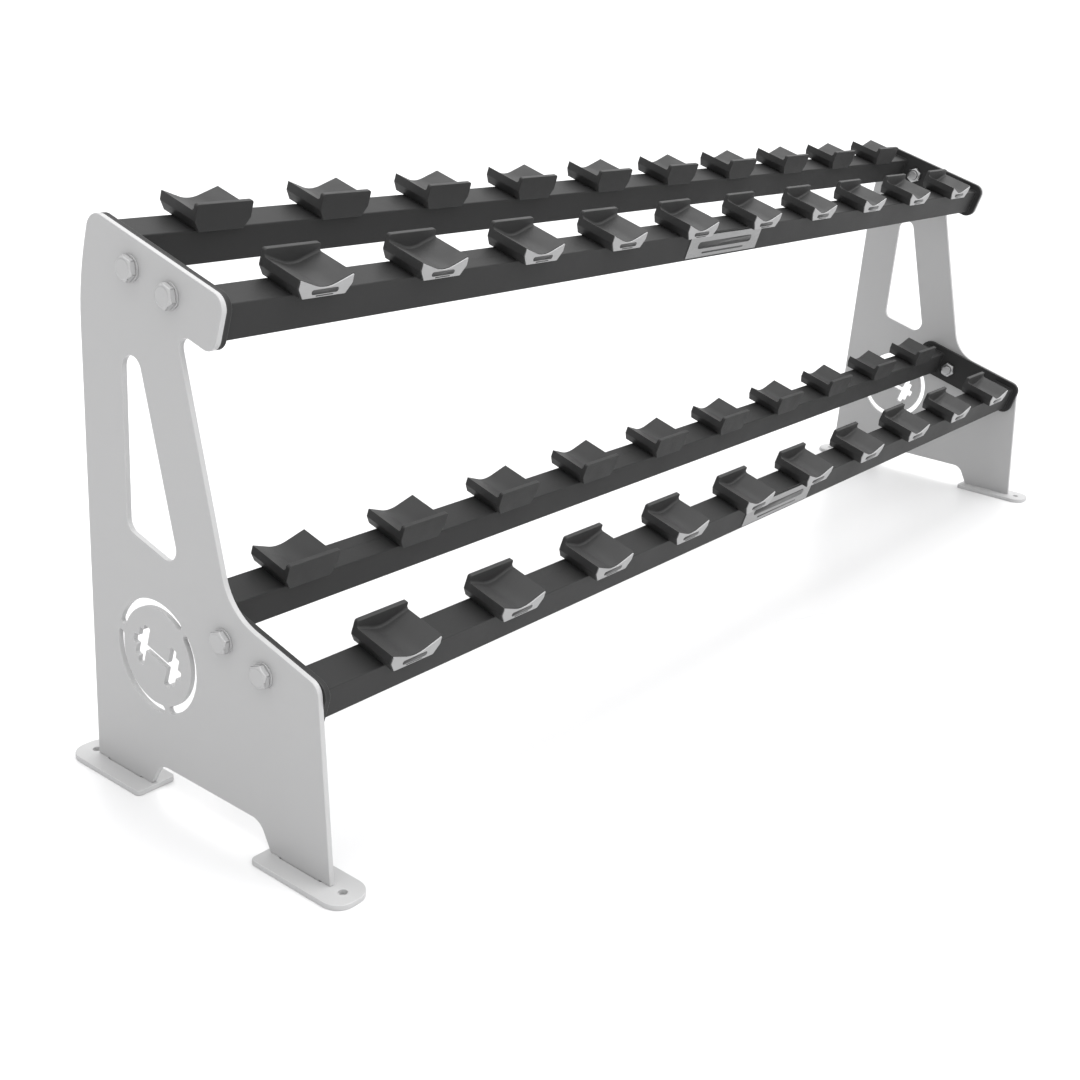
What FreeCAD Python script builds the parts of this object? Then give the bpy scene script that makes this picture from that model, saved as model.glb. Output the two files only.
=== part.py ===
import FreeCAD, Part
import math
import os

# Two-tier dumbbell rack.  Millimetres, +Z up.  The origin is on the floor under the middle of the
# rack, +X runs along its length and the front faces -Y.
Vec = FreeCAD.Vector

# ---- driving dimensions -------------------------------------------------------------------------
SPAN = 2300.0             # outer face of one side panel to outer face of the other
DEPTH = 553.0             # front end of the front feet to back end of the rear feet
PLATE = 8.0               # side panels, end flanges and foot plates are cut from the same plate
TILT = 15.5               # shelves and front struts lean by this many degrees
TUBE = 50.0               # square shelf tube
TUBE_WALL = 3.0
TUBE_CORNER = 2.0
TUBE_INNER_CORNER = 1.0
RAIL_CENTRES = 191.0      # middle of the rear tube to middle of the front tube, along the slope
SHELF_CENTRE = {"upper": (94.0, 739.0), "lower": (-82.0, 296.5)}   # y, z of the tube tops' middle
SADDLES = 10              # saddles on every rail
SADDLE_PITCH = 220.0

# side panel
BACK_Y = 241.5            # straight lower part of the back edge
BACK_BEND = 400.0         # radius that turns the back edge square to the upper shelf
STRUT = 84.0              # width of the rear strut and of the front strut
STRUT_MIDDLE = (4.5, 498.5)    # a point on the front edge of the front strut
SHOULDER_FRONT = (-207.5, 250.0)   # a point on the front edge below the lower shelf
TOE_Y = -233.5            # front edge where it meets the foot plate
HEAD_CORNER = 20.0
TOP_BACK_CORNER = 24.0
NOTCH = 15.0
CROTCH = 80.0
WINDOW_CORNER = 19.0
ARCH_TOP = 46.0
ARCH_HALF_TOP = 101.0
ARCH_HALF_FOOT = 122.0
ARCH_MIDDLE = -1.0
ARCH_CORNER = 25.0

# end flange round the two tubes of a shelf
FLANGE_FRONT = 14.0
FLANGE_BACK = 9.0
FLANGE_ABOVE = 15.0
FLANGE_BELOW = 10.0

# foot plates
FOOT_LENGTH = 162.0
FOOT_WIDTH = 65.0
FOOT_TOE_CORNER = 27.0    # at the end with the anchor hole
FOOT_HEEL_CORNER = 8.0
ANCHOR_HOLE = 12.0
ANCHOR_INSET = 24.5
TAB_LENGTH = 70.0
TAB_GAP = 0.5             # clearance between a panel tab and its slot, each side

# saddles
SADDLE_DEPTH = 73.0
SADDLE_OVERHANG = 15.0    # past the outer face of the tube
SADDLE_FOOT = 37.5        # half widths of the end profile at its foot, waist and rim
SADDLE_WAIST = 47.0
WAIST_HEIGHT = 15.0
RIM_HALF = 46.5
RIM_HEIGHT = 28.0
TROUGH_VEE = 11.2         # height where the two slopes of the trough would meet
TROUGH_RADIUS = 50.0
TROUGH_FILLET = 4.0       # between the trough and the lip
LIP_HEIGHT = 38.5
LIP_THICKNESS = 7.0
LIP_CORNER = 3.5
FOOT_EDGE = 2.0           # radii of the end profile's corners
WAIST_EDGE = 4.0
RIM_EDGE = 1.0
BADGE = 1.5               # thickness
BADGE_INSET = 1.0

# nameplates on the front tubes
NAMEPLATE_LENGTH = 238.0
NAMEPLATE_HEIGHT = 41.0
NAMEPLATE = 1.5           # thickness
NAMEPLATE_X = 10.0

# frame bolts
BOLT = 20.0
BOLT_HOLE = 21.0
HEX_ACROSS = 30.0
HEX_FACE = 25.0           # diameter of the flat left by the chamfer
HEX_CHAMFER = 30.0        # degrees
HEX_TURN = {"upper": 20.0, "lower": -21.0}   # degrees each shelf's bolts and nuts are turned
HEAD_HEIGHT = 9.5
NUT_HEIGHT = 10.0         # thin nuts
NUT_BORE = 20.2
WASHER = 35.0
WASHER_THICKNESS = 2.5
BOLT_SPACING = 78.0
BOLT_MIDDLE = {"upper": (-3.0, -24.0), "lower": (4.0, -29.0)}   # along the slope, up from the tube tops
THREAD_PAST_NUT = 4.0

# M6 saddle screws, put in from under the tube
SCREW = 6.0
SCREW_HOLE = 6.6
SCREW_HEAD = 10.0
SCREW_HEAD_HEIGHT = 6.0
SCREW_SOCKET = 5.0
SCREW_SOCKET_DEPTH = 3.0
SCREW_BITE = 11.0         # length of screw inside the saddle
SCREW_PIT = 12.0          # depth and bore of the hole it goes into
SCREW_PIT_BORE = 6.2
SCREW_HALF_SPACING = 22.0

# cut-out in each side panel: a broken ring round a dumbbell outline
EMBLEM_CENTRE = (103.0, 210.0)
RING_RADIUS = 76.0        # middle of the ring slots
RING_SLOT = 11.0
RING_SLOTS = 3
RING_BRIDGE = 16.0        # degrees of metal left between two slots
HANDLE_HALF = 25.0
HANDLE_THICKNESS = 9.0
END_STEPS = ((9.0, 31.0), (8.0, 22.0), (8.0, 7.0))   # length and half height; inner weight first
STEP_CORNER = 2.5

# ---- worked out from the above ------------------------------------------------------------------
RAIL_HALF = RAIL_CENTRES / 2
SHELF_HALF = RAIL_HALF + TUBE / 2              # middle of the shelf to the outer face of a tube
PANEL_MIDDLE_X = SPAN / 2 - PLATE / 2
FLANGE_INNER_X = SPAN / 2 - 2 * PLATE
SADDLE_OUTER = SHELF_HALF + SADDLE_OVERHANG
SLOPE = Vec(0, math.cos(math.radians(TILT)), math.sin(math.radians(TILT)))     # up towards the back
NORMAL = Vec(0, -math.sin(math.radians(TILT)), math.cos(math.radians(TILT)))   # out of a shelf top
SIDES = {"left": -1, "right": 1}


# ---- helpers ------------------------------------------------------------------------------------
def crossing(start, along, other_start, other_along):
    """Point where two lines of the YZ plane cross."""
    gap = other_start - start
    scale = gap.cross(other_along).x / along.cross(other_along).x
    return start + along * scale


def shelf_point(tier, back, up):
    """Point of the YZ plane `back` along a shelf's slope and `up` from its tube tops."""
    y, z = SHELF_CENTRE[tier]
    return Vec(0, y, z) + SLOPE * back + NORMAL * up


def rounded_wire(corners):
    """Closed wire through (point, radius) corners, each corner replaced by its arc."""
    arcs = []
    for index, (point, radius) in enumerate(corners):
        before = (corners[index - 1][0] - point).normalize()
        after = (corners[(index + 1) % len(corners)][0] - point).normalize()
        half = before.getAngle(after) / 2
        middle = (before + after).normalize()
        reach = radius / math.tan(half)
        nearest = radius / math.sin(half) - radius
        arcs.append((point + before * reach, point + middle * nearest, point + after * reach))
    edges = []
    for index, (start, middle, end) in enumerate(arcs):
        if corners[index][1] > 0:
            edges.append(Part.Arc(start, middle, end).toShape())
        following = arcs[(index + 1) % len(arcs)][0]
        if end.distanceToPoint(following) > 1e-6:
            edges.append(Part.makeLine(end, following))
    return Part.Wire(edges)


def prism(corners, sweep):
    """Solid swept from a rounded outline."""
    return Part.Face(rounded_wire(corners)).extrude(sweep)


def lay_on_shelf(shape, tier):
    """Turn a piece built level at the origin onto a shelf."""
    y, z = SHELF_CENTRE[tier]
    placed = shape.copy()
    placed.rotate(Vec(0, 0, 0), Vec(1, 0, 0), TILT)
    placed.translate(Vec(0, y, z))
    return placed


def plate_corners(low, high, radius, x=0.0):
    """Four rounded corners of a rectangle of the YZ plane."""
    return [(Vec(x, low[0], low[1]), radius), (Vec(x, high[0], low[1]), radius),
            (Vec(x, high[0], high[1]), radius), (Vec(x, low[0], high[1]), radius)]


def save(shape, name):
    shape.exportStep("parts/" + name + ".step")


# ---- side panels --------------------------------------------------------------------------------
def strut_line(shift):
    """Start and direction of a line parallel to the front strut, `shift` behind its front edge."""
    lean = Vec(0, math.sin(math.radians(TILT)), math.cos(math.radians(TILT)))
    backward = Vec(0, math.cos(math.radians(TILT)), -math.sin(math.radians(TILT)))
    return Vec(0, *STRUT_MIDDLE) + backward * shift, lean


def panel_outline():
    """Corners of a side panel, up its back edge, over the head and down its front edge."""
    head_front = -SHELF_HALF - FLANGE_FRONT
    head_back = SHELF_HALF + FLANGE_BACK
    head_under = -TUBE - FLANGE_BELOW
    up = Vec(0, 0, 1)
    strut_start, strut_lean = strut_line(0)
    shoulder = shelf_point("lower", 0, FLANGE_ABOVE)
    toe = Vec(0, TOE_Y, PLATE)
    front_edge = Vec(0, *SHOULDER_FRONT) - toe
    bend = crossing(Vec(0, BACK_Y, 0), up, shelf_point("upper", head_back, 0), NORMAL)
    notch = crossing(shelf_point("upper", 0, head_under), SLOPE, strut_start, strut_lean)
    crotch = crossing(shoulder, SLOPE, strut_start, strut_lean)
    return [
        (Vec(0, BACK_Y, PLATE), 0),
        (bend, BACK_BEND),
        (shelf_point("upper", head_back, FLANGE_ABOVE), TOP_BACK_CORNER),
        (shelf_point("upper", head_front, FLANGE_ABOVE), HEAD_CORNER),
        (shelf_point("upper", head_front, head_under), HEAD_CORNER),
        (notch, NOTCH),
        (crotch, CROTCH),
        (crossing(shoulder, SLOPE, toe, front_edge), HEAD_CORNER),
        (toe, 0),
        (Vec(0, ARCH_MIDDLE - ARCH_HALF_FOOT, PLATE), 0),
        (Vec(0, ARCH_MIDDLE - ARCH_HALF_TOP, ARCH_TOP), ARCH_CORNER),
        (Vec(0, ARCH_MIDDLE + ARCH_HALF_TOP, ARCH_TOP), ARCH_CORNER),
        (Vec(0, ARCH_MIDDLE + ARCH_HALF_FOOT, PLATE), 0),
    ]


def window_outline():
    """Triangular window between the struts; its sill carries on the line of the lower shelf."""
    up = Vec(0, 0, 1)
    behind = Vec(0, BACK_Y - STRUT, 0)
    inner_start, lean = strut_line(STRUT)
    sill = shelf_point("lower", 0, FLANGE_ABOVE)
    return [
        (crossing(behind, up, sill, SLOPE), WINDOW_CORNER),
        (crossing(behind, up, inner_start, lean), WINDOW_CORNER),
        (crossing(inner_start, lean, sill, SLOPE), WINDOW_CORNER),
    ]


def ring_slot(start, end):
    """Arc-shaped slot with round ends, from one angle of the emblem ring to another."""
    def on_ring(radius, degrees):
        angle = math.radians(degrees)
        return Vec(0, radius * math.cos(angle), radius * math.sin(angle))

    outer = RING_RADIUS + RING_SLOT / 2
    inner = RING_RADIUS - RING_SLOT / 2
    middle = (start + end) / 2
    cap = math.degrees(RING_SLOT / 2 / RING_RADIUS)
    arcs = [
        Part.Arc(on_ring(outer, start), on_ring(outer, middle), on_ring(outer, end)),
        Part.Arc(on_ring(outer, end), on_ring(RING_RADIUS, end + cap), on_ring(inner, end)),
        Part.Arc(on_ring(inner, end), on_ring(inner, middle), on_ring(inner, start)),
        Part.Arc(on_ring(inner, start), on_ring(RING_RADIUS, start - cap), on_ring(outer, start)),
    ]
    return Part.Face(Part.Wire([arc.toShape() for arc in arcs])).extrude(Vec(PLATE, 0, 0))


def dumbbell_cutout():
    """Outline of a small dumbbell: a handle with two weights and a stub at each end."""
    shape = Part.makeBox(PLATE, 2 * HANDLE_HALF, HANDLE_THICKNESS,
                         Vec(0, -HANDLE_HALF, -HANDLE_THICKNESS / 2))
    reach = HANDLE_HALF
    for length, half_height in END_STEPS:
        inner = reach - STEP_CORNER
        reach += length
        for low, high in ((inner, reach), (-reach, -inner)):
            step = plate_corners((low, -half_height), (high, half_height), STEP_CORNER)
            shape = shape.fuse(prism(step, Vec(PLATE, 0, 0)))
    return shape.removeSplitter()


def emblem_cutouts():
    """Cut-outs of the emblem, tipped to the angle of the shelves."""
    share = 360.0 / RING_SLOTS
    shapes = [ring_slot(index * share + RING_BRIDGE / 2, (index + 1) * share - RING_BRIDGE / 2)
              for index in range(RING_SLOTS)]
    shapes.append(dumbbell_cutout())
    for shape in shapes:
        shape.rotate(Vec(0, 0, 0), Vec(1, 0, 0), TILT)
        shape.translate(Vec(0, *EMBLEM_CENTRE))
    return shapes


def bolt_offsets(tier):
    """The two bolts of a shelf end, as distances along the slope and up from the tube tops."""
    middle, up = BOLT_MIDDLE[tier]
    return [(middle + BOLT_SPACING / 2, up), (middle - BOLT_SPACING / 2, up)]


def tab_middle(end):
    """Middle along Y of the panel tab in a foot plate."""
    toe = {"rear": BACK_Y, "front": TOE_Y}[end]
    heel = {"rear": ARCH_MIDDLE + ARCH_HALF_FOOT, "front": ARCH_MIDDLE - ARCH_HALF_FOOT}[end]
    return (toe + heel) / 2


def side_panel(side):
    """One side panel with its window, emblem, bolt holes and the two tabs under it."""
    panel = prism(panel_outline(), Vec(PLATE, 0, 0))
    for end in ("rear", "front"):
        tab = Part.makeBox(PLATE, TAB_LENGTH, PLATE, Vec(0, tab_middle(end) - TAB_LENGTH / 2, 0))
        panel = panel.fuse(tab)
    holes = [Part.makeCylinder(BOLT_HOLE / 2, PLATE, shelf_point(tier, back, up), Vec(1, 0, 0))
             for tier in SHELF_CENTRE
             for back, up in bolt_offsets(tier)]
    panel = panel.cut(holes + [prism(window_outline(), Vec(PLATE, 0, 0))] + emblem_cutouts())
    panel = panel.removeSplitter()
    panel.translate(Vec(SIDES[side] * PANEL_MIDDLE_X - PLATE / 2, 0, 0))
    return panel.Solids[0]


def foot_plate(side, end):
    """Flat foot with an anchor hole at its outer end and a slot for the panel tab."""
    outward = 1 if end == "rear" else -1
    half_width = FOOT_WIDTH / 2
    toe = outward * DEPTH / 2
    heel = outward * (DEPTH / 2 - FOOT_LENGTH)
    corners = [(Vec(-half_width, heel, 0), FOOT_HEEL_CORNER),
               (Vec(half_width, heel, 0), FOOT_HEEL_CORNER),
               (Vec(half_width, toe, 0), FOOT_TOE_CORNER),
               (Vec(-half_width, toe, 0), FOOT_TOE_CORNER)]
    plate = prism(corners, Vec(0, 0, PLATE))
    anchor_y = outward * (DEPTH / 2 - ANCHOR_INSET)
    anchor = Part.makeCylinder(ANCHOR_HOLE / 2, PLATE, Vec(0, anchor_y, 0))
    slot_half = TAB_LENGTH / 2 + TAB_GAP
    slot_width = PLATE + 2 * TAB_GAP
    slot = Part.makeBox(slot_width, 2 * slot_half, PLATE,
                        Vec(-slot_width / 2, tab_middle(end) - slot_half, 0))
    reliefs = [Part.makeCylinder(slot_width / 2, PLATE, Vec(0, tab_middle(end) + shift, 0))
               for shift in (-slot_half, slot_half)]
    plate = plate.cut([anchor, slot] + reliefs)
    plate.translate(Vec(SIDES[side] * PANEL_MIDDLE_X, 0, 0))
    return plate.Solids[0]


# ---- shelves (built level, tube tops at z = 0, then laid on the slope) --------------------------
def end_flange(side, tier):
    """Plate welded across the ends of a shelf's two tubes and bolted to the side panel."""
    low = (-SHELF_HALF - FLANGE_FRONT, -TUBE - FLANGE_BELOW)
    high = (SHELF_HALF + FLANGE_BACK, FLANGE_ABOVE)
    corners = plate_corners(low, high, HEAD_CORNER)
    corners[2] = (corners[2][0], TOP_BACK_CORNER)
    flange = prism(corners, Vec(PLATE, 0, 0))
    for back, up in bolt_offsets(tier):
        flange = flange.cut(Part.makeCylinder(BOLT_HOLE / 2, PLATE, Vec(0, back, up), Vec(1, 0, 0)))
    start = FLANGE_INNER_X if side == "right" else -FLANGE_INNER_X - PLATE
    flange.translate(Vec(start, 0, 0))
    return lay_on_shelf(flange, tier)


def saddle_positions():
    """X of the middle of every saddle on a rail."""
    return [(index - (SADDLES - 1) / 2) * SADDLE_PITCH for index in range(SADDLES)]


def screw_positions():
    """X of every saddle screw on a rail."""
    return [middle + shift
            for middle in saddle_positions()
            for shift in (-SCREW_HALF_SPACING, SCREW_HALF_SPACING)]


def rail(tier, row):
    """Square tube with clearance holes for the saddle screws."""
    middle = RAIL_HALF if row == "rear" else -RAIL_HALF
    start = -FLANGE_INNER_X
    outer = plate_corners((middle - TUBE / 2, -TUBE), (middle + TUBE / 2, 0), TUBE_CORNER, start)
    inner = plate_corners((middle - TUBE / 2 + TUBE_WALL, TUBE_WALL - TUBE),
                          (middle + TUBE / 2 - TUBE_WALL, -TUBE_WALL), TUBE_INNER_CORNER, start)
    length = Vec(2 * FLANGE_INNER_X, 0, 0)
    tube = prism(outer, length).cut(prism(inner, length))
    holes = [Part.makeCylinder(SCREW_HOLE / 2, TUBE, Vec(x, middle, -TUBE)) for x in screw_positions()]
    return lay_on_shelf(tube.cut(holes), tier)


def block_profile():
    """End profile of the block a saddle is shaped from: flared sides under a flat top."""
    return [
        (Vec(-SADDLE_FOOT, 0, 0), FOOT_EDGE),
        (Vec(SADDLE_FOOT, 0, 0), FOOT_EDGE),
        (Vec(SADDLE_WAIST, 0, WAIST_HEIGHT), WAIST_EDGE),
        (Vec(SADDLE_WAIST, 0, LIP_HEIGHT), LIP_CORNER),
        (Vec(-SADDLE_WAIST, 0, LIP_HEIGHT), LIP_CORNER),
        (Vec(-SADDLE_WAIST, 0, WAIST_HEIGHT), WAIST_EDGE),
    ]


def trough_space():
    """The space over a saddle's trough, out past both sides and rounded where it meets the lip."""
    far = 2 * RIM_HALF
    far_height = 2 * RIM_HEIGHT - TROUGH_VEE
    top = 2 * LIP_HEIGHT
    profile = [(Vec(-far, 0, far_height), 0), (Vec(0, 0, TROUGH_VEE), TROUGH_RADIUS),
               (Vec(far, 0, far_height), 0), (Vec(far, 0, top), 0), (Vec(-far, 0, top), 0)]
    length = SADDLE_DEPTH - LIP_THICKNESS
    space = prism(profile, Vec(0, length, 0))
    floor_end = [edge for edge in space.Edges
                 if edge.BoundBox.YMin > length - 0.01 and edge.BoundBox.ZMax < top - 0.01]
    return space.makeFillet(TROUGH_FILLET, floor_end)


def moulded_saddle():
    """Saddle of a front rail, its outer end at y = 0 and its lip at the back."""
    saddle = prism(block_profile(), Vec(0, SADDLE_DEPTH, 0)).cut(trough_space())
    screw_y = SADDLE_OVERHANG + TUBE / 2
    for x in (-SCREW_HALF_SPACING, SCREW_HALF_SPACING):
        saddle = saddle.cut(Part.makeCylinder(SCREW_PIT_BORE / 2, SCREW_PIT, Vec(x, screw_y, 0)))
    return saddle.Solids[0]


def place_saddle(saddle, tier, row, x):
    """Saddle set on a rail; the ones of a rear rail are the same part turned round."""
    placed = saddle.copy()
    placed.translate(Vec(0, -SADDLE_OUTER, 0))
    if row == "rear":
        placed.rotate(Vec(0, 0, 0), Vec(0, 0, 1), 180)
    placed.translate(Vec(x, 0, 0))
    return lay_on_shelf(placed, tier)


def badge_profile():
    """Outline of the badge on the end of a saddle, a little inside the saddle's own."""
    foot = SADDLE_FOOT - BADGE_INSET
    waist = SADDLE_WAIST - BADGE_INSET
    rim = RIM_HALF - BADGE_INSET
    return [
        (Vec(-foot, 0, BADGE_INSET), FOOT_EDGE),
        (Vec(foot, 0, BADGE_INSET), FOOT_EDGE),
        (Vec(waist, 0, WAIST_HEIGHT), WAIST_EDGE),
        (Vec(rim, 0, RIM_HEIGHT - BADGE_INSET), RIM_EDGE),
        (Vec(0, 0, TROUGH_VEE - BADGE_INSET), TROUGH_RADIUS),
        (Vec(-rim, 0, RIM_HEIGHT - BADGE_INSET), RIM_EDGE),
        (Vec(-waist, 0, WAIST_HEIGHT), WAIST_EDGE),
    ]


def saddle_badges():
    """Thin metal plates on the outer ends of the front saddles of both shelves."""
    badge = prism(badge_profile(), Vec(0, -BADGE, 0))
    badges = []
    for tier in SHELF_CENTRE:
        for x in saddle_positions():
            placed = badge.copy()
            placed.translate(Vec(x, -SADDLE_OUTER, 0))
            badges.append(lay_on_shelf(placed, tier))
    return badges


def rail_nameplates():
    """Blank plates on the front faces of the two front tubes."""
    plates = []
    start = Vec(NAMEPLATE_X - NAMEPLATE_LENGTH / 2, -SHELF_HALF - NAMEPLATE, -(TUBE + NAMEPLATE_HEIGHT) / 2)
    for tier in SHELF_CENTRE:
        plate = Part.makeBox(NAMEPLATE_LENGTH, NAMEPLATE, NAMEPLATE_HEIGHT, start)
        plates.append(lay_on_shelf(plate, tier))
    return plates


def hexagon(across, height):
    """Hexagonal prism along +X."""
    radius = across / math.sqrt(3)
    corners = [(Vec(0, radius * math.cos(math.radians(60 * turn)),
                    radius * math.sin(math.radians(60 * turn))), 0) for turn in range(6)]
    return prism(corners, Vec(height, 0, 0))


def chamfered_hexagon(height):
    """Hexagonal prism along +X with the corners of its near end turned off."""
    flare = height / math.tan(math.radians(HEX_CHAMFER))
    cone = Part.makeCone(HEX_FACE / 2, HEX_FACE / 2 + flare, height, Vec(0, 0, 0), Vec(1, 0, 0))
    return hexagon(HEX_ACROSS, height).common(cone)


def at_every_frame_bolt(shape):
    """Copies of a piece built along +X from a left panel's outer face, one at every frame bolt."""
    copies = []
    for side in SIDES:
        for tier in SHELF_CENTRE:
            for back, up in bolt_offsets(tier):
                placed = shape.copy()
                placed.rotate(Vec(0, 0, 0), Vec(1, 0, 0), HEX_TURN[tier])
                if side == "right":
                    placed.rotate(Vec(0, 0, 0), Vec(0, 0, 1), 180)
                placed.translate(shelf_point(tier, back, up) + Vec(SIDES[side] * SPAN / 2, 0, 0))
                copies.append(placed)
    return copies


def frame_bolts():
    """Hex bolts through panel and flange."""
    head = chamfered_hexagon(HEAD_HEIGHT)
    head.translate(Vec(-WASHER_THICKNESS - HEAD_HEIGHT, 0, 0))
    length = WASHER_THICKNESS + 2 * PLATE + NUT_HEIGHT + THREAD_PAST_NUT
    shank = Part.makeCylinder(BOLT / 2, length, Vec(-WASHER_THICKNESS, 0, 0), Vec(1, 0, 0))
    return at_every_frame_bolt(head.fuse(shank).Solids[0])


def frame_washers():
    """One washer under every bolt head."""
    washer = Part.makeCylinder(WASHER / 2, WASHER_THICKNESS, Vec(-WASHER_THICKNESS, 0, 0), Vec(1, 0, 0))
    bore = Part.makeCylinder(BOLT_HOLE / 2, WASHER_THICKNESS, Vec(-WASHER_THICKNESS, 0, 0), Vec(1, 0, 0))
    return at_every_frame_bolt(washer.cut(bore))


def frame_nuts():
    """Hex nuts on the inside of the flanges."""
    bore = Part.makeCylinder(NUT_BORE / 2, NUT_HEIGHT, Vec(0, 0, 0), Vec(1, 0, 0))
    nut = chamfered_hexagon(NUT_HEIGHT).cut(bore)
    nut.rotate(Vec(0, 0, 0), Vec(0, 0, 1), 180)
    nut.translate(Vec(2 * PLATE + NUT_HEIGHT, 0, 0))
    return at_every_frame_bolt(nut)


def saddle_screws():
    """Cap screws through every tube into the saddles above it."""
    bottom = -TUBE - SCREW_HEAD_HEIGHT
    head = Part.makeCylinder(SCREW_HEAD / 2, SCREW_HEAD_HEIGHT, Vec(0, 0, bottom))
    socket = hexagon(SCREW_SOCKET, SCREW_SOCKET_DEPTH)
    socket.rotate(Vec(0, 0, 0), Vec(0, 1, 0), -90)
    socket.translate(Vec(0, 0, bottom))
    shank = Part.makeCylinder(SCREW / 2, TUBE + SCREW_BITE, Vec(0, 0, -TUBE))
    screw = head.fuse(shank).cut(socket).Solids[0]
    screws = []
    for tier in SHELF_CENTRE:
        for y in (RAIL_HALF, -RAIL_HALF):
            for x in screw_positions():
                placed = screw.copy()
                placed.translate(Vec(x, y, 0))
                screws.append(lay_on_shelf(placed, tier))
    return screws


# ---- write one file for every node --------------------------------------------------------------
os.makedirs("parts", exist_ok=True)

for side in SIDES:
    save(side_panel(side), "side_panel_" + side)
    for end in ("rear", "front"):
        save(foot_plate(side, end), "foot_plate_" + side + "_" + end)
    for tier in SHELF_CENTRE:
        save(end_flange(side, tier), tier + "_flange_" + side)

saddle = moulded_saddle()
for tier in SHELF_CENTRE:
    for row in ("rear", "front"):
        save(rail(tier, row), tier + "_rail_" + row)
        for number, x in enumerate(saddle_positions(), 1):
            save(place_saddle(saddle, tier, row, x), "%s_%s_saddle_%02d" % (tier, row, number))

save(Part.makeCompound(saddle_badges()), "saddle_badges")
save(Part.makeCompound(rail_nameplates()), "rail_nameplates")
save(Part.makeCompound(frame_bolts()), "frame_bolts")
save(Part.makeCompound(frame_washers()), "frame_washers")
save(Part.makeCompound(frame_nuts()), "frame_nuts")
save(Part.makeCompound(saddle_screws()), "saddle_screws")
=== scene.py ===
import math

import bmesh
import bpy
from mathutils import Matrix, Vector


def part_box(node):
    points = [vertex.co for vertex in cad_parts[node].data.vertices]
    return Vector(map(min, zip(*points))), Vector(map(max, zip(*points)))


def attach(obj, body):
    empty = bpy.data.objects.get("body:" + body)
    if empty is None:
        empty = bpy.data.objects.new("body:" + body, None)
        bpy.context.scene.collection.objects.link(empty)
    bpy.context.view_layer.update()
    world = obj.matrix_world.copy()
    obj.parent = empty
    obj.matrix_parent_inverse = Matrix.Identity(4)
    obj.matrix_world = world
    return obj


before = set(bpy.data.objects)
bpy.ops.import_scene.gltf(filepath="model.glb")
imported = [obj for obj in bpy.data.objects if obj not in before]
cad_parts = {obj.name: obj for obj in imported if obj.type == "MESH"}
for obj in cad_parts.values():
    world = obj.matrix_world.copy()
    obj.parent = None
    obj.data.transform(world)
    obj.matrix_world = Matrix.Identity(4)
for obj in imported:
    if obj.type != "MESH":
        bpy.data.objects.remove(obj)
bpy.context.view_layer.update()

# ---- driving values, in metres -------------------------------------------------------------------
TIERS = ("upper", "lower")
ROWS = ("rear", "front")
SIDES = ("left", "right")
PLACES = 10                       # dumbbells on a shelf

# radius that the sharp edges of each kind of piece are rounded to
EDGE_RADIUS = {
    "side_panel": 0.0011,
    "foot_plate": 0.0012,
    "flange": 0.0010,
    "rail_": 0.0004,
    "_saddle_": 0.0009,
    "saddle_badges": 0.0003,
    "rail_nameplates": 0.0005,
    "frame_washers": 0.0005,
    "frame_nuts": 0.0009,
    "frame_bolts": 0.0009,
    "saddle_screws": 0.0004,
}
EDGE_STEPS = 3                    # faces across a rounded edge
SHARP = math.radians(28)          # edges turning by more than this are rounded
FLAT = math.radians(0.6)          # faces turning by less than this are one face
SAME_POINT = 0.00001              # corners nearer than this are one corner
BIG_FACES_FIRST = 80              # how much the large faces rule the shading at an edge, in percent

BEAD_RADIUS = 0.0026              # weld bead round the end of a tube
BEAD_RIPPLE = 0.0030              # distance from one ripple to the next
RIPPLE_STEPS = 4                  # points along one ripple
RIPPLE_HEIGHT = 0.13              # share of the radius
BEAD_DRIFT = 0.05                 # slow change of the radius along the bead, also as a share
DRIFT_TURN = 0.37                 # radians of that change from one point to the next
BEAD_SECTION = 7                  # points round the outside of the bead
TUBE_CORNER = 0.002

CRYSTALS_PER_METRE = 900.0        # in zinc plate

# enamel bars: height of the middle, half length and half height
BADGE_BARS = ((0.0085, 0.0230, 0.0033), (0.0032, 0.0150, 0.0008))            # height over the tube
NAMEPLATE_BARS = ((0.0020, 0.0900, 0.0065), (-0.0125, 0.0700, 0.0016))       # over the plate's middle
PRINT_THICKNESS = 0.00015
PRINT_DEPTH = 0.00005             # how far a bar reaches into the metal under it
BAR_END = 8                       # steps round each end of a bar

HORIZON_LIGHT = 1.05
DOME_LIGHT = 0.92
HORIZON_BAND = (0.10, 0.30)       # heights on the sky, as sines, between which the light changes
# soft lights: strength, width across the sky in degrees, turn about the rack's X and Y axes in degrees
SOFT_LIGHTS = {
    "overhead": (2.7, 90, (0, 18)),        # from above and a little from the right
    "front": (1.0, 80, (58, 0)),
}
FLOOR_HALF = 60.0

SENSOR = 36.0                     # millimetres, as is the lens

CAMERA_PLACE = (-2.2292, -1.3174, 1.0731)
CAMERA_TURN = math.radians(-52.93)
CAMERA_DOWN = math.radians(21.13)
CAMERA_ROLL = math.radians(4.25)
CAMERA_LENS = 47.6
CAMERA_SHIFT = (0.0126, 0.0046)


# ---- node helpers --------------------------------------------------------------------------------
def new_material(name):
    """Empty material with a Principled shader: the material, its tree and the shader."""
    made = bpy.data.materials.new(name)
    made.use_nodes = True
    return made, made.node_tree, made.node_tree.nodes["Principled BSDF"]


def place(tree, stretch=(1.0, 1.0, 1.0)):
    """Position in the rack's own frame, in metres, stretched along its axes."""
    coordinates = tree.nodes.new("ShaderNodeTexCoord")
    mapping = tree.nodes.new("ShaderNodeMapping")
    mapping.inputs["Scale"].default_value = stretch
    tree.links.new(coordinates.outputs["Object"], mapping.inputs["Vector"])
    return mapping.outputs["Vector"]


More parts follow.
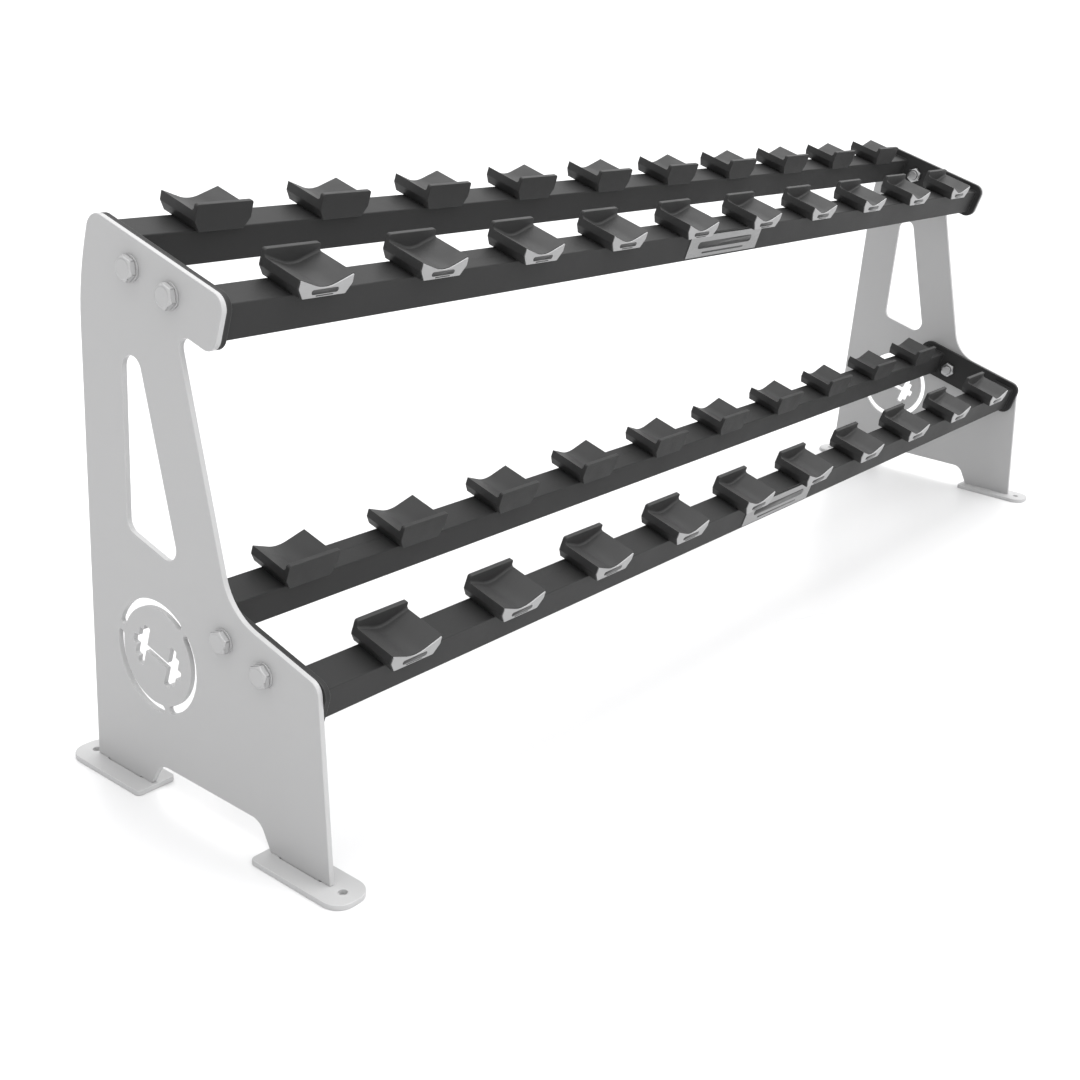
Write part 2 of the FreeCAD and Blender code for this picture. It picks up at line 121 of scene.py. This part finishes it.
def noise(tree, where, grain, detail=2.0, roughness=0.5):
    """Noise whose features are about `grain` metres across."""
    texture = tree.nodes.new("ShaderNodeTexNoise")
    texture.inputs["Scale"].default_value = 1 / grain
    texture.inputs["Detail"].default_value = detail
    texture.inputs["Roughness"].default_value = roughness
    tree.links.new(where, texture.inputs["Vector"])
    return texture.outputs["Fac"]


def spread(tree, value, low, high, start=0.3, end=0.7):
    """`value` between start and end, spread out to low and high."""
    node = tree.nodes.new("ShaderNodeMapRange")
    node.inputs["From Min"].default_value = start
    node.inputs["From Max"].default_value = end
    node.inputs["To Min"].default_value = low
    node.inputs["To Max"].default_value = high
    tree.links.new(value, node.inputs["Value"])
    return node.outputs["Result"]


def between(tree, share, first, second):
    """Colour between two greys or colours."""
    node = tree.nodes.new("ShaderNodeMix")
    node.data_type = "RGBA"
    node.inputs["A"].default_value = (*first, 1.0)
    node.inputs["B"].default_value = (*second, 1.0)
    tree.links.new(share, node.inputs["Factor"])
    return node.outputs["Result"]


def mixed(tree, share, first, second):
    """Number between two other numbers."""
    node = tree.nodes.new("ShaderNodeMix")
    tree.links.new(share, node.inputs["Factor"])
    tree.links.new(first, node.inputs["A"])
    tree.links.new(second, node.inputs["B"])
    return node.outputs["Result"]


def bump(tree, shader, height, depth, below=None):
    """Bump of `depth` metres on the shader, over another bump if there is one."""
    node = tree.nodes.new("ShaderNodeBump")
    node.inputs["Distance"].default_value = depth
    tree.links.new(height, node.inputs["Height"])
    if below is not None:
        tree.links.new(below, node.inputs["Normal"])
    tree.links.new(node.outputs["Normal"], shader.inputs["Normal"])
    return node.outputs["Normal"]


def grey(value):
    """Grey with a trace of blue."""
    return (value, value, value * 1.005)


# ---- materials -----------------------------------------------------------------------------------
def powder_coat(name, tone, roughness, contrast, specular):
    """Powder coat: an orange-peel skin with faint specks and soft patches of tone and gloss."""
    material, tree, shader = new_material(name)
    shader.inputs["Specular IOR Level"].default_value = specular
    where = place(tree)
    specks = noise(tree, where, grain=0.0007, detail=1.0)
    patches = noise(tree, where, grain=0.16, detail=4.0, roughness=0.6)
    peel = noise(tree, where, grain=0.0016, detail=2.0)
    share = mixed(tree, spread(tree, patches, 0.25, 0.75), specks, patches)
    colour = between(tree, share, grey(tone * (1 - contrast)), grey(tone * (1 + contrast)))
    tree.links.new(colour, shader.inputs["Base Color"])
    tree.links.new(spread(tree, patches, roughness - 0.04, roughness + 0.05), shader.inputs["Roughness"])
    skin = bump(tree, shader, peel, depth=0.00006)
    bump(tree, shader, noise(tree, where, grain=0.02, detail=1.0), depth=0.00012, below=skin)
    return material


def moulded_plastic(name, tone, roughness, specular):
    """Black moulding with a fine even grain and slightly polished patches."""
    material, tree, shader = new_material(name)
    shader.inputs["Specular IOR Level"].default_value = specular
    where = place(tree)
    grain = noise(tree, where, grain=0.0006, detail=2.0)
    patches = noise(tree, where, grain=0.03, detail=3.0)
    colour = between(tree, patches, grey(tone * 0.85), grey(tone * 1.15))
    tree.links.new(colour, shader.inputs["Base Color"])
    tree.links.new(spread(tree, patches, roughness - 0.06, roughness + 0.06), shader.inputs["Roughness"])
    bump(tree, shader, grain, depth=0.00008)
    return material


def brushed_metal(name, tone, roughness):
    """Metal brushed along the rack: long fine streaks in tone, gloss and height."""
    material, tree, shader = new_material(name)
    streaks = noise(tree, place(tree, (0.02, 1.0, 1.0)), grain=0.0007, detail=3.0, roughness=0.6)
    clouds = noise(tree, place(tree), grain=0.05, detail=3.0)
    shader.inputs["Metallic"].default_value = 1.0
    share = mixed(tree, clouds, streaks, clouds)
    colour = between(tree, share, grey(tone * 0.86), grey(min(1.0, tone * 1.12)))
    tree.links.new(colour, shader.inputs["Base Color"])
    tree.links.new(spread(tree, streaks, roughness - 0.07, roughness + 0.09), shader.inputs["Roughness"])
    bump(tree, shader, streaks, depth=0.00004)
    return material


def zinc_plate(name, tone, roughness):
    """Zinc-plated steel: small crystals of slightly different tone under a soft sheen."""
    material, tree, shader = new_material(name)
    where = place(tree)
    crystals = tree.nodes.new("ShaderNodeTexVoronoi")
    crystals.inputs["Scale"].default_value = CRYSTALS_PER_METRE
    tree.links.new(where, crystals.inputs["Vector"])
    facets = crystals.outputs["Distance"]
    smears = noise(tree, where, grain=0.008, detail=4.0)
    shader.inputs["Metallic"].default_value = 1.0
    share = mixed(tree, smears, facets, smears)
    colour = between(tree, share, grey(tone * 0.82), grey(tone * 1.12))
    tree.links.new(colour, shader.inputs["Base Color"])
    tree.links.new(spread(tree, smears, roughness - 0.08, roughness + 0.1), shader.inputs["Roughness"])
    bump(tree, shader, smears, depth=0.00005)
    return material


def enamel(name, tone, roughness):
    """Thin dark enamel, a little uneven."""
    material, tree, shader = new_material(name)
    cover = noise(tree, place(tree), grain=0.002, detail=3.0)
    colour = between(tree, cover, grey(tone * 0.7), grey(tone * 1.4))
    tree.links.new(colour, shader.inputs["Base Color"])
    tree.links.new(spread(tree, cover, roughness - 0.05, roughness + 0.08), shader.inputs["Roughness"])
    bump(tree, shader, cover, depth=0.00002)
    return material


def studio_floor(name, tone):
    """Pale seamless floor with a soft polish."""
    material, tree, shader = new_material(name)
    clouds = noise(tree, place(tree), grain=0.9, detail=3.0)
    colour = between(tree, clouds, grey(tone * 0.99), grey(tone))
    tree.links.new(colour, shader.inputs["Base Color"])
    tree.links.new(spread(tree, clouds, 0.22, 0.28), shader.inputs["Roughness"])
    return material


PANEL = powder_coat("panel_coat", tone=0.392, roughness=0.42, contrast=0.05, specular=0.5)
# lighter copy of the panel coat for the panels' cut faces and rounded edges: a painted highlight where
# light catches the edges
PANEL_EDGE_HIGHLIGHT = powder_coat("panel_coat_edge_painted_highlight", tone=0.42, roughness=0.36, contrast=0.06, specular=0.5)
# lighter copy of the panel coat for the feet: painted light, making their up-facing tops brighter than
# the panels
FOOT_PAINTED_LIGHT = powder_coat("foot_coat_painted_light", tone=0.435, roughness=0.42, contrast=0.05, specular=0.5)
SHELF = powder_coat("shelf_coat", tone=0.027, roughness=0.55, contrast=0.18, specular=0.16)
SHELF_EDGE = powder_coat("shelf_coat_edge", tone=0.026, roughness=0.38, contrast=0.2, specular=0.4)
SADDLE = moulded_plastic("saddle_plastic", tone=0.0288, roughness=0.54, specular=0.28)
BADGE = brushed_metal("badge_brushed", tone=0.38, roughness=0.48)
NAMEPLATE = brushed_metal("nameplate_brushed", tone=0.265, roughness=0.32)
ZINC = zinc_plate("zinc_plate", tone=0.42, roughness=0.38)
BLACK_OXIDE = zinc_plate("black_oxide", tone=0.08, roughness=0.38)
ENAMEL = enamel("badge_enamel", tone=0.03, roughness=0.35)

# materials of a node's faces and of its edges; the side panels' lighter edge material is a painted
# highlight on their cut faces and rounded edges
FINISH = {
    "side_panel": (PANEL, PANEL_EDGE_HIGHLIGHT),
    # feet: the same coat as the panels, painted lighter for the light falling on their tops
    "foot_plate": (FOOT_PAINTED_LIGHT, FOOT_PAINTED_LIGHT),
    "flange": (SHELF, SHELF_EDGE),
    "rail_": (SHELF, SHELF_EDGE),
    "_saddle_": (SADDLE, SADDLE),
    "saddle_badges": (BADGE, BADGE),
    "rail_nameplates": (NAMEPLATE, NAMEPLATE),
    "frame_washers": (ZINC, ZINC),
    "frame_nuts": (ZINC, ZINC),
    "frame_bolts": (ZINC, ZINC),
    "saddle_screws": (BLACK_OXIDE, BLACK_OXIDE),
}


# ---- the CAD nodes -------------------------------------------------------------------------------
def kind_of(node):
    """The kind of piece a node is: the longest key of FINISH found in its name."""
    return max((kind for kind in FINISH if kind in node), key=len)


def finish_node(node):
    """Rounds the sharp edges of a CAD node with modifiers and gives it its materials."""
    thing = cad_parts[node]
    kind = kind_of(node)
    thing.data.materials.clear()
    for material in FINISH[kind]:
        thing.data.materials.append(material)
    weld = thing.modifiers.new("weld", "WELD")
    weld.merge_threshold = SAME_POINT
    flat = thing.modifiers.new("flat_faces", "DECIMATE")
    flat.decimate_type = "DISSOLVE"
    flat.angle_limit = FLAT
    edges = thing.modifiers.new("edges", "BEVEL")
    edges.width = EDGE_RADIUS[kind]
    edges.segments = EDGE_STEPS
    edges.limit_method = "ANGLE"
    edges.angle_limit = SHARP
    edges.use_clamp_overlap = False
    edges.material = 1
    # rounded edges take the node's edge material, which on the side panels is a painted highlight
    edges.miter_outer = "MITER_ARC"
    shading = thing.modifiers.new("shading", "WEIGHTED_NORMAL")
    shading.weight = BIG_FACES_FIRST
    for face in thing.data.polygons:
        face.use_smooth = True
        face.material_index = 0


def highlight_cut_faces(panel):
    """Gives the narrow cut faces round a side panel the lighter edge material: a painted highlight where
    light catches the plate's edges.
    """
    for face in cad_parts[panel].data.polygons:
        if abs(face.normal.x) < 0.5:
            face.material_index = 1


def coat_outside(node):
    """Faces of bolts and washers outside the side panels are coated like the panels."""
    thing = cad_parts[node]
    thing.data.materials.append(PANEL)
    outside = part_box("side_panel_right")[1].x
    for face in thing.data.polygons:
        if abs(face.center.x) > outside:
            face.material_index = 2


for node_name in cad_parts:
    finish_node(node_name)
for side in SIDES:
    highlight_cut_faces("side_panel_" + side)
coat_outside("frame_bolts")
coat_outside("frame_washers")


# ---- directions of a shelf, read from one of its tubes ---------------------------------------------
def shelf_directions():
    """Unit vectors up the slope of the shelves and out of their tops."""
    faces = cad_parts["upper_rail_front"].data.polygons
    top = max((face for face in faces if face.normal.z > 0.5), key=lambda face: face.area)
    out = Vector((0, top.normal.y, top.normal.z)).normalized()
    return Vector((0, out.z, -out.y)), out


SLOPE, OUT = shelf_directions()


def reach(node, direction):
    """How far a node reaches along a direction: its lowest and highest value."""
    values = [vertex.co.dot(direction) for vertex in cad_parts[node].data.vertices]
    return min(values), max(values)


def on_shelf(x, back, out):
    """Point at x, `back` along the slope and `out` along the shelves' normal."""
    return Vector((x, 0, 0)) + SLOPE * back + OUT * out


def new_piece(name, vertices, faces, material):
    """Mesh piece in the rack's frame that rides with the rack."""
    mesh = bpy.data.meshes.new(name)
    mesh.from_pydata([tuple(vertex) for vertex in vertices], [], faces)
    mesh.validate()
    made = bmesh.new()
    made.from_mesh(mesh)
    bmesh.ops.recalc_face_normals(made, faces=made.faces)
    made.to_mesh(mesh)
    made.free()
    for face in mesh.polygons:
        face.use_smooth = True
    mesh.materials.append(material)
    piece = bpy.data.objects.new(name, mesh)
    bpy.context.scene.collection.objects.link(piece)
    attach(piece, "root")
    return piece


# ---- enamel bars on the badges and nameplates --------------------------------------------------------
def bar_outline(x, out, half_length, half_height):
    """Points (x, out) round a bar with half-round ends."""
    points = []
    for end in (1, -1):
        for step in range(BAR_END + 1):
            angle = math.pi * (step / BAR_END - 0.5)
            points.append((x + end * (half_length - half_height + half_height * math.cos(angle)),
                           out + end * half_height * math.sin(angle)))
    return points


def enamel_bars(name, outlines, face):
    """Thin enamel bars on a metal face that lies at `face` along the slope."""
    vertices = []
    faces = []
    for outline in outlines:
        start = len(vertices)
        count = len(outline)
        for back in (face - PRINT_THICKNESS, face + PRINT_DEPTH):
            vertices.extend(on_shelf(x, back, out) for x, out in outline)
        faces.append(tuple(range(start, start + count)))
        faces.append(tuple(range(start + 2 * count - 1, start + count - 1, -1)))
        for index in range(count):
            following = (index + 1) % count
            faces.append((start + index, start + following,
                          start + count + following, start + count + index))
    return new_piece(name, vertices, faces, ENAMEL)


def badge_print(tier):
    """Two bars on every badge of a shelf."""
    foremost = "lower_front_saddle_01"      # the lower shelf's badges are the foremost along the slope
    thickness = reach(foremost, SLOPE)[0] - reach("saddle_badges", SLOPE)[0]
    outlines = []
    for number in range(1, PLACES + 1):
        saddle = "%s_front_saddle_%02d" % (tier, number)
        middle = (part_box(saddle)[0].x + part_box(saddle)[1].x) / 2
        face = reach(saddle, SLOPE)[0] - thickness
        foot = reach(saddle, OUT)[0]
        for height, half_length, half_height in BADGE_BARS:
            outlines.append(bar_outline(middle, foot + height, half_length, half_height))
    return enamel_bars("badge_print_" + tier, outlines, face)


def nameplate_print(tier):
    """Bars on the nameplate of a shelf."""
    thickness = reach("lower_rail_front", SLOPE)[0] - reach("rail_nameplates", SLOPE)[0]
    rail = tier + "_rail_front"
    face = reach(rail, SLOPE)[0] - thickness
    level = sum(reach(rail, OUT)) / 2
    middle = (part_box("rail_nameplates")[0].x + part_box("rail_nameplates")[1].x) / 2
    outlines = [bar_outline(middle, level + height, half_length, half_height)
                for height, half_length, half_height in NAMEPLATE_BARS]
    return enamel_bars("nameplate_print_" + tier, outlines, face)


for tier in TIERS:
    badge_print(tier)
    nameplate_print(tier)


# ---- weld beads ----------------------------------------------------------------------------------
def rounded_square(low, high, corner, step):
    """Points about `step` apart along a rectangle with round corners, with their outward directions."""
    middle = [(a + b) / 2 for a, b in zip(low, high)]
    half = [(b - a) / 2 - corner for a, b in zip(low, high)]
    points = []
    for turn in range(4):
        start = math.radians(90 * turn)
        sign = (1 if turn in (0, 3) else -1, 1 if turn in (0, 1) else -1)
        centre = (middle[0] + sign[0] * half[0], middle[1] + sign[1] * half[1])
        steps = max(3, round(corner * math.pi / 2 / step))
        for index in range(steps):
            angle = start + math.pi / 2 * index / steps
            way = (math.cos(angle), math.sin(angle))
            points.append((centre[0] + way[0] * corner, centre[1] + way[1] * corner, way))
        end = start + math.pi / 2
        way = (math.cos(end), math.sin(end))
        along = (-math.sin(end), math.cos(end))
        run = 2 * (half[0] if turn % 2 == 0 else half[1])
        steps = max(2, round(run / step))
        for index in range(steps):
            share = run * index / steps
            points.append((centre[0] + way[0] * corner + along[0] * share,
                           centre[1] + way[1] * corner + along[1] * share, way))
    return points


def weld_bead(tier, row, side):
    """Rippled fillet weld where the end of a tube meets its flange."""
    rail = tier + "_rail_" + row
    sign = 1 if side == "right" else -1
    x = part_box(rail)[1].x * sign
    low = (reach(rail, SLOPE)[0], reach(rail, OUT)[0])
    high = (reach(rail, SLOPE)[1], reach(rail, OUT)[1])
    ring = rounded_square(low, high, TUBE_CORNER, BEAD_RIPPLE / RIPPLE_STEPS)
    vertices = []
    for index, (back, out, way) in enumerate(ring):
        ripple = RIPPLE_HEIGHT * math.sin(index * 2 * math.pi / RIPPLE_STEPS)
        radius = BEAD_RADIUS * (1 + ripple + BEAD_DRIFT * math.sin(index * DRIFT_TURN))
        for part in range(BEAD_SECTION):
            angle = math.pi / 2 * part / (BEAD_SECTION - 1)
            inward = radius * math.sin(angle)
            outward = radius * math.cos(angle)
            vertices.append(on_shelf(x - sign * inward, back + way[0] * outward, out + way[1] * outward))
        vertices.append(on_shelf(x, back, out))
    ring_size = BEAD_SECTION + 1
    count = len(ring)
    faces = []
    for index in range(count):
        following = (index + 1) % count
        for part in range(ring_size):
            next_part = (part + 1) % ring_size
            faces.append((index * ring_size + part, index * ring_size + next_part,
                          following * ring_size + next_part, following * ring_size + part))
    return new_piece("weld_%s_%s_%s" % (tier, row, side), vertices, faces, SHELF)


for tier in TIERS:
    for row in ROWS:
        for side in SIDES:
            weld_bead(tier, row, side)


# ---- stage, light and camera ---------------------------------------------------------------------
def studio():
    """Pale floor under a dome that is white at the horizon and dimmer above."""
    floor_mesh = bpy.data.meshes.new("studio_floor")
    corners = [(x * FLOOR_HALF, y * FLOOR_HALF, 0) for x, y in ((-1, -1), (1, -1), (1, 1), (-1, 1))]
    floor_mesh.from_pydata(corners, [], [(0, 1, 2, 3)])
    floor_mesh.materials.append(studio_floor("floor_white", tone=0.785))
    floor = bpy.data.objects.new("studio_floor", floor_mesh)
    bpy.context.scene.collection.objects.link(floor)

    world = bpy.data.worlds.new("studio")
    world.use_nodes = True
    tree = world.node_tree
    direction = tree.nodes.new("ShaderNodeTexCoord")
    parts = tree.nodes.new("ShaderNodeSeparateXYZ")
    tree.links.new(direction.outputs["Generated"], parts.inputs["Vector"])
    strength = spread(tree, parts.outputs["Z"], HORIZON_LIGHT, DOME_LIGHT, *HORIZON_BAND)
    tree.links.new(strength, tree.nodes["Background"].inputs["Strength"])
    tree.nodes["Background"].inputs["Color"].default_value = (1, 1, 1, 1)
    bpy.context.scene.world = world


def soft_light(name):
    """Very soft light from far away."""
    strength, width, turn = SOFT_LIGHTS[name]
    light = bpy.data.lights.new(name, "SUN")
    light.energy = strength
    light.angle = math.radians(width)
    lamp = bpy.data.objects.new(name, light)
    lamp.rotation_euler = (math.radians(turn[0]), math.radians(turn[1]), 0)
    bpy.context.scene.collection.objects.link(lamp)


def photo_camera():
    """Camera at the viewing angle of the product shot."""
    camera = bpy.data.cameras.new("camera")
    camera.sensor_width = SENSOR
    camera.lens = CAMERA_LENS
    camera.shift_x, camera.shift_y = CAMERA_SHIFT
    forward = Vector((-math.sin(CAMERA_TURN) * math.cos(CAMERA_DOWN),
                      math.cos(CAMERA_TURN) * math.cos(CAMERA_DOWN), -math.sin(CAMERA_DOWN)))
    level = Vector((math.cos(CAMERA_TURN), math.sin(CAMERA_TURN), 0))
    above = level.cross(forward)
    right = level * math.cos(CAMERA_ROLL) + above * math.sin(CAMERA_ROLL)
    up = above * math.cos(CAMERA_ROLL) - level * math.sin(CAMERA_ROLL)
    holder = bpy.data.objects.new("camera", camera)
    turn = Matrix((right, up, -forward)).transposed().to_4x4()
    holder.matrix_world = Matrix.Translation(CAMERA_PLACE) @ turn
    bpy.context.scene.collection.objects.link(holder)
    bpy.context.scene.camera = holder


studio()
for light_name in SOFT_LIGHTS:
    soft_light(light_name)
photo_camera()
bpy.context.scene.view_settings.view_transform = "Standard"
